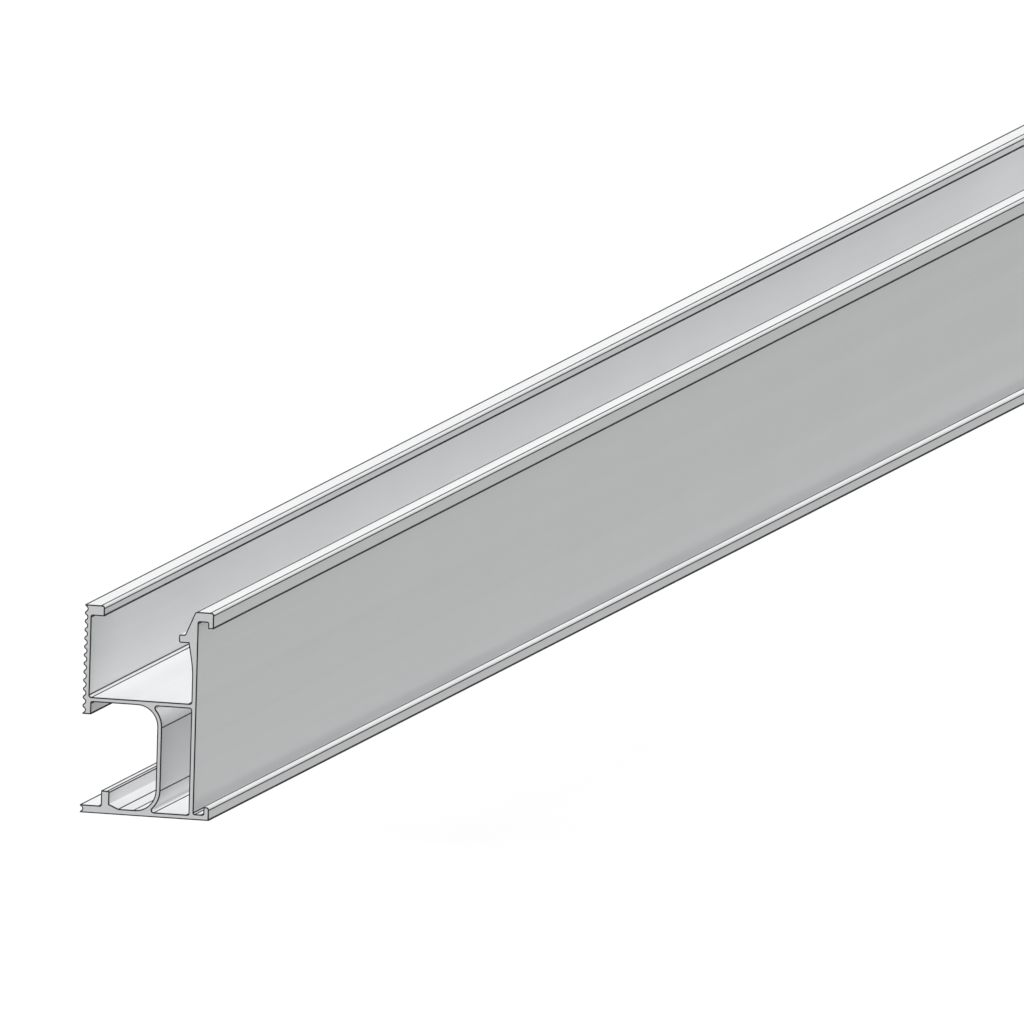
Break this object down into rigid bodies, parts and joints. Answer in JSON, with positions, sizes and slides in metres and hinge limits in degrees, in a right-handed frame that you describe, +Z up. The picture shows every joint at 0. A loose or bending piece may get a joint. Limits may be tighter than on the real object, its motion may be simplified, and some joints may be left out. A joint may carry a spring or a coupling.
{
  "type": "aluminium extrusion profile",
  "caption": "Straight length of aluminium extrusion with a serrated side wall, open channels, a curved inner web, a closed chamber, and a hook and lip for a clip-in cover.",
  "frame": {"origin": "centre of the underside, halfway along the length, on the floor plane", "axes": "+Y along the extrusion, +Z up from the flat base, +X towards the hook and the cover recess"},
  "size_m": [0.0382, 1, 0.06],
  "materials": {
    "mill_aluminium": "satin mill finish"
  },
  "bodies": {
    "root": {"extrusion_profile": "mill_aluminium"}
  },
  "joints": []
}
